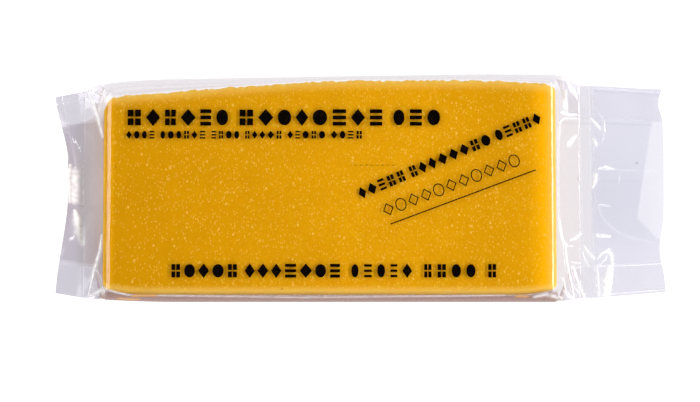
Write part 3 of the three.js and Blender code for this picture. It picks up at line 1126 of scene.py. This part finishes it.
def film_rows():
    """The places of the film's rows along the bag"""
    stretches = [
        (BAG_LEFT, LEFT_WELD, CELLS_LEFT_TAIL),
        (LEFT_WELD, BLOCK_LEFT, CELLS_LEFT_SHOULDER),
        (BLOCK_LEFT, BLOCK_LEFT + BLOCK_END, CELLS_BLOCK_END),
        (BLOCK_LEFT + BLOCK_END, BLOCK_RIGHT - BLOCK_END, CELLS_BLOCK),
        (BLOCK_RIGHT - BLOCK_END, BLOCK_RIGHT, CELLS_BLOCK_END),
        (BLOCK_RIGHT, RIGHT_WELD, CELLS_RIGHT_SHOULDER),
        (RIGHT_WELD, RIGHT_WELD_END, CELLS_WELD),
        (RIGHT_WELD_END, BAG_RIGHT, CELLS_RIGHT_TAIL),
    ]
    rows = [BAG_LEFT]
    for start, end, cells in stretches:
        rows += [lerp(start, end, (cell + 1) / cells) for cell in range(cells)]
    return rows


def film_ring():
    """Places round the bag, across and up: over the top, down one side, back underneath and up the other"""
    top = [(lerp(-1, 1, cell / CELLS_ACROSS), 1) for cell in range(CELLS_ACROSS)]
    down = [(1, lerp(1, -1, cell / CELLS_UP)) for cell in range(CELLS_UP)]
    under = [(lerp(1, -1, cell / CELLS_UNDER), -1) for cell in range(CELLS_UNDER)]
    up = [(-1, lerp(-1, 1, cell / CELLS_UP)) for cell in range(CELLS_UP)]
    return top + down + under + up + [(-1, 1)]


def top_tone(grey, highlight_share, dense, amber):
    """How much the top film hides, how much of it is painted highlight and how much amber, from its grey and
    its creases
    """
    grey = (grey + dense) * (1 - highlight_share) * (1 - amber)
    return highlight_share + grey + amber, highlight_share / (highlight_share + grey + WHITE_START), amber / (amber + grey + WHITE_START)


class NOUGAT_OT_film(bpy.types.Operator):
    """Makes the film bag: a tube with gusseted, welded ends and loose tails"""

    bl_idname = "nougat.film"
    bl_label = "Film bag"

    def execute(self, context):
        film = context.scene.nougat_film
        rows = film_rows()
        ring = film_ring()
        bm = bmesh.new()
        bmesh.ops.create_grid(bm, x_segments=len(rows) - 1, y_segments=len(ring) - 1, size=0.5)
        # The film's grey veil, partly painted shade, its warmth, its painted highlights and its painted amber
        # reflection of the paste
        veil = bm.verts.layers.float.new("veil")
        warm = bm.verts.layers.float.new("warm")
        # Painted highlights along the film's creases
        painted_highlight = bm.verts.layers.float.new("painted_highlight")
        amber = bm.verts.layers.float.new("amber")
        folded = bm.verts.layers.int.new("folded")
        for vert in bm.verts:
            x = rows[round((vert.co.x + 0.5) * (len(rows) - 1))]
            across, up = ring[round((vert.co.y + 0.5) * (len(ring) - 1))]
            point = film_point(x, across, up, film)
            grey, vert[warm] = film_tone(point, x, across, up)
            if up > 0:
                rise, *marks = creased(point.x, point.y)
                point.z = min(point.z + rise, BAG_HIGH.z)
                vert[veil], vert[painted_highlight], vert[amber] = top_tone(grey, *marks)
            else:
                vert[veil] = grey
            vert[folded] = past_block(x) > FOLD_START and abs(across) == 1 and (up == 0 or abs(up) == 1)
            vert.co = point
        for edge in bm.edges:
            edge.smooth = not (edge.verts[0][folded] and edge.verts[1][folded])
        bmesh.ops.remove_doubles(bm, verts=bm.verts, dist=MERGE_DISTANCE)
        bmesh.ops.recalc_face_normals(bm, faces=bm.faces)
        made = piece("film_bag", bm, film_material(film))
        stands_for_bag(made)
        return {"FINISHED"}


def film_top(x, y, film):
    """Height of the film's top sheet over the block"""
    edge = abs(wall_crease(x, y >= 0))
    return film_point(x, y / edge, 1, film).z


# Shapes printed on the film, in millimetres: rows of marks, each with its start, its length, its
# height, its lean in degrees, how full its ink is and the gap between its marks
PRINT_ROWS = [
    {"start": (-92, 23.7), "length": 120, "height": 6.9, "lean": 0, "ink": 1.0, "gap": 1.4},
    {"start": (-92, 18.6), "length": 93, "height": 3.4, "lean": 0, "ink": 0.6, "gap": 0.8},
    {"start": (0.5, -5.4), "length": 75, "height": 4.9, "lean": 23, "ink": 0.7, "gap": 0.8},
    {"start": (-74.2, -36.1), "length": 65, "height": 5.8, "lean": 0, "ink": 0.9, "gap": 1.0},
    {"start": (-3.5, -36.1), "length": 55, "height": 5.8, "lean": 0, "ink": 0.4, "gap": 1.7},
]

# An even row of open lozenges and discs, a line under it and faint dashes over it
OPEN_ROW = {"start": (9.6, -12.4), "count": 11, "pitch": 5.3, "size": (4.4, 5.2), "lean": 21, "line": 0.42}
UNDERLINE = {"start": (12, -14.9), "length": 61, "lean": 20.5, "thick": 0.45}
DASHES = {"start": (-1.6, 8.3), "count": 8, "pitch": 2.1, "size": (1.2, 0.16)}

MARK_COUNTS = (5, 7, 4, 6, 8)  # marks between the wider gaps of a row
WIDE_GAP = 1.6  # added at a wider gap, as a share of the row's gap
MARK_SEED = 11
MARK_WIDTHS = (0.75, 1.0)  # shares of a mark's greatest width
INK_WIDTHS = (0.55, 0.95)  # greatest width over height, in a row of thin ink and of full ink
PRINT_LIFT = 0.03 * MM  # from the film to the ink

# The four kinds of marks, as shares of a mark's own width and height
DISC_SIZE = 0.9
ROUND_CORNERS = 24
LOZENGE_CORNERS = 4
BARS_WIDTH = 0.85
BARS_THICKNESS = (0.132, 0.22)  # in thin ink and in full ink
BARS_PITCH = 0.36
BLOCKS_PLACE = (0.23, 0.25)
BLOCKS_SIZE = (0.36, 0.4)
BAR_CELL = 1.5  # length of a bar's cells, in millimetres


def add_bar(bm, centre, size):
    """A flat bar with cells along it"""
    cells = max(1, round(size[0] / BAR_CELL))
    made = bmesh.ops.create_grid(bm, x_segments=cells, y_segments=1, size=0.5)["verts"]
    place = Matrix.Translation((*centre, 0)) @ Matrix.Diagonal((*size, 1, 1))
    bmesh.ops.transform(bm, matrix=place, verts=made)
    return made


def add_disc(bm, centre, size, corners):
    """A flat disc, or a lozenge with four corners"""
    made = bmesh.ops.create_circle(bm, cap_ends=True, segments=corners, radius=0.5)["verts"]
    place = Matrix.Translation((*centre, 0)) @ Matrix.Diagonal((*size, 1, 1))
    bmesh.ops.transform(bm, matrix=place, verts=made)
    return made


def add_bars(bm, x, y, width, height, ink):
    """Three flat bars, one over the other"""
    size = (width * BARS_WIDTH, height * lerp(*BARS_THICKNESS, ink))
    made = []
    for step in (-1, 0, 1):
        made += add_bar(bm, (x, y + step * height * BARS_PITCH), size)
    return made


def add_blocks(bm, x, y, width, height):
    """Four small oblongs, two by two"""
    size = (width * BLOCKS_SIZE[0], height * BLOCKS_SIZE[1])
    made = []
    for row in (-1, 1):
        for column in (-1, 1):
            centre = (x + column * width * BLOCKS_PLACE[0], y + row * height * BLOCKS_PLACE[1])
            made += add_bar(bm, centre, size)
    return made


def add_mark(bm, x, y, width, height, ink, kind):
    """One mark of a printed row, of one of four plain kinds"""
    if kind == 0:
        return add_disc(bm, (x, y), (width * DISC_SIZE, height * DISC_SIZE), ROUND_CORNERS)
    if kind == 1:
        return add_disc(bm, (x, y), (width, height), LOZENGE_CORNERS)
    if kind == 2:
        return add_bars(bm, x, y, width, height, ink)
    return add_blocks(bm, x, y, width, height)


def add_outline(bm, centre, size, corners, line):
    """The outline of a disc or a lozenge, drawn in a line of even thickness"""
    inner = add_disc(bm, centre, size, corners)[0].link_faces[0]
    ring = bmesh.ops.inset_individual(bm, faces=[inner], thickness=line, use_even_offset=True)["faces"]
    bmesh.ops.delete(bm, geom=[inner], context="FACES_ONLY")
    return list({vert for face in ring for vert in face.verts})


def set_down(bm, verts, start, lean):
    """Moves marks made along +X to their own line on the film"""
    place = Matrix.Translation((*start, 0)) @ Matrix.Rotation(math.radians(lean), 4, "Z")
    bmesh.ops.transform(bm, matrix=place, verts=verts)


def add_open_row(bm):
    """A row of open lozenges and discs, with a line under it and a few short dashes above"""
    made = []
    for step in range(OPEN_ROW["count"]):
        centre = (OPEN_ROW["pitch"] * (step + 0.5), OPEN_ROW["size"][1] / 2)
        corners = ROUND_CORNERS if step % 3 == 1 else LOZENGE_CORNERS
        made += add_outline(bm, centre, OPEN_ROW["size"], corners, OPEN_ROW["line"])
    set_down(bm, made, OPEN_ROW["start"], OPEN_ROW["lean"])
    line = add_bar(bm, (UNDERLINE["length"] / 2, 0), (UNDERLINE["length"], UNDERLINE["thick"]))
    set_down(bm, line, UNDERLINE["start"], UNDERLINE["lean"])
    for step in range(DASHES["count"]):
        dash = add_bar(bm, (DASHES["pitch"] * step, 0), DASHES["size"])
        set_down(bm, dash, DASHES["start"], 0)


def add_row(bm, row, draw):
    """A row of marks along its own line"""
    made = []
    x = 0.0
    count = 0
    group = draw.choice(MARK_COUNTS)
    while x < row["length"]:
        width = row["height"] * draw.uniform(*MARK_WIDTHS) * lerp(*INK_WIDTHS, row["ink"])
        kind = draw.randrange(4)
        made += add_mark(bm, x + width / 2, row["height"] / 2, width, row["height"], row["ink"], kind)
        x += width + row["gap"]
        count += 1
        if count == group:
            x += WIDE_GAP * row["gap"]
            count = 0
            group = draw.choice(MARK_COUNTS)
    set_down(bm, made, row["start"], row["lean"])


class NOUGAT_OT_print(bpy.types.Operator):
    """Makes the print on the film: rows of plain marks in black ink"""

    bl_idname = "nougat.print"
    bl_label = "Print"

    def execute(self, context):
        film = context.scene.nougat_film
        ink = context.scene.nougat_print
        draw = random.Random(MARK_SEED)
        bm = bmesh.new()
        for row in PRINT_ROWS:
            add_row(bm, row, draw)
        add_open_row(bm)
        bmesh.ops.scale(bm, vec=(MM, MM, MM), verts=bm.verts)
        for vert in bm.verts:
            vert.co.z = film_top(vert.co.x, vert.co.y, film) + PRINT_LIFT
        top = bmesh.ops.extrude_face_region(bm, geom=bm.faces[:], use_keep_orig=True)["geom"]
        raised = [item for item in top if isinstance(item, bmesh.types.BMVert)]
        bmesh.ops.translate(bm, vec=(0, 0, ink.thickness), verts=raised)
        bmesh.ops.recalc_face_normals(bm, faces=bm.faces)
        made = piece("film_print", bm, ink_material(ink), smooth_faces=False)
        stands_for_bag(made)
        return {"FINISHED"}


# The camera looks down from a little in front of the block
AIM = Vector((-3.9, -5.2, 8.5)) * MM
CAMERA_DISTANCE = 771.5 * MM
CAMERA_TILT = math.radians(4)
LENS = 99.9  # millimetres

FLOOR_SIZE = 12
FLOOR_CELLS = 4
FLOOR_LEVEL = -0.3 * MM

# Soft lights: the direction towards each from the block, its distance, its size and its share of the power
LIGHTS = {
    "key": {"towards": (0.845, 0.078, 0.53), "distance": 1.05, "size": (1.2, 0.2), "share": 1.0},
    "left": {"towards": (-0.85, 0.15, 0.5), "distance": 1.0, "size": (0.8, 0.45), "share": 1.5},
    "far": {"towards": (0.05, 0.9, 0.5), "distance": 1.0, "size": (1.0, 0.5), "share": 0.7},
    "near": {"towards": (0.1, -0.95, 0.45), "distance": 1.0, "size": (1.2, 0.7), "share": 1.8},
}


def add_light(name, light, power):
    """A rectangular soft light that faces the block"""
    data = bpy.data.lights.new(name, "AREA")
    data.shape = "RECTANGLE"
    data.size, data.size_y = light["size"]
    data.energy = power * light["share"]
    made = bpy.data.objects.new(name, data)
    towards = Vector(light["towards"]).normalized()
    made.location = towards * light["distance"]
    made.rotation_euler = towards.to_track_quat("Z", "Y").to_euler()
    bpy.context.scene.collection.objects.link(made)


def add_camera():
    """The camera, at the viewing angle of the photographed pack"""
    data = bpy.data.cameras.new("camera")
    data.lens = LENS
    made = bpy.data.objects.new("camera", data)
    back = Vector((0, -math.sin(CAMERA_TILT), math.cos(CAMERA_TILT)))
    made.location = AIM + back * CAMERA_DISTANCE
    made.rotation_euler = (CAMERA_TILT, 0, 0)
    bpy.context.scene.collection.objects.link(made)
    bpy.context.scene.camera = made


def set_world():
    """Pale light near the horizon and almost none overhead, so that flat film stays clear"""
    world = bpy.data.worlds.new("studio")
    bpy.context.scene.world = world
    look = Look(world)
    direction = look.add("ShaderNodeTexCoord", output="Generated")
    height = look.add("ShaderNodeSeparateXYZ", {}, {"Vector": direction}, "Z")
    right = look.add("ShaderNodeSeparateXYZ", {}, {"Vector": direction}, "X")
    glow = look.between(height, start=0.05, end=0.8, low=0.35, high=0.01)
    glow = glow * look.between(right, start=-0.6, end=0.6, low=0.3, high=1.0)
    background = look.add("ShaderNodeBackground", {}, {"Color": (0.97, 0.98, 1.0, 1.0), "Strength": glow})
    look.add("ShaderNodeOutputWorld", {}, {"Surface": background})


class NOUGAT_OT_stage(bpy.types.Operator):
    """Makes the pale floor, the soft lights and the camera"""

    bl_idname = "nougat.stage"
    bl_label = "Stage"

    def execute(self, context):
        stage = context.scene.nougat_stage
        bm = bmesh.new()
        bmesh.ops.create_grid(bm, x_segments=FLOOR_CELLS, y_segments=FLOOR_CELLS, size=FLOOR_SIZE / 2)
        bmesh.ops.translate(bm, vec=(0, 0, FLOOR_LEVEL), verts=bm.verts)
        piece("floor", bm, floor_material(stage))
        for name, light in LIGHTS.items():
            add_light(name, light, stage.key_power if name == "key" else stage.fill_power)
        set_world()
        add_camera()
        context.scene.view_settings.view_transform = "Standard"
        return {"FINISHED"}


class NOUGAT_PT_sidebar(bpy.types.Panel):
    """Lists the pieces in the 3D view's sidebar"""

    bl_label = "Nougat"
    bl_space_type = "VIEW_3D"
    bl_region_type = "UI"
    bl_category = "Nougat"

    def draw(self, context):
        for operator in OPERATORS:
            self.layout.operator(operator.bl_idname)


OPERATORS = (NOUGAT_OT_block, NOUGAT_OT_film, NOUGAT_OT_print, NOUGAT_OT_stage)
SETTINGS = {
    "nougat_block": BlockSettings,
    "nougat_film": FilmSettings,
    "nougat_print": PrintSettings,
    "nougat_stage": StageSettings,
}
CLASSES = (*SETTINGS.values(), *OPERATORS, NOUGAT_PT_sidebar)


def register():
    """Registers the classes and puts the settings on the scene"""
    for cls in CLASSES:
        bpy.utils.register_class(cls)
    for name, group in SETTINGS.items():
        setattr(bpy.types.Scene, name, bpy.props.PointerProperty(type=group))


def unregister():
    """Takes the settings and the classes away again"""
    for name in SETTINGS:
        delattr(bpy.types.Scene, name)
    for cls in reversed(CLASSES):
        bpy.utils.unregister_class(cls)


def main():
    """Makes every piece"""
    register()
    bpy.ops.nougat.block()
    bpy.ops.nougat.film()
    bpy.ops.nougat.print()
    bpy.ops.nougat.stage()


if __name__ == "__main__":
    main()
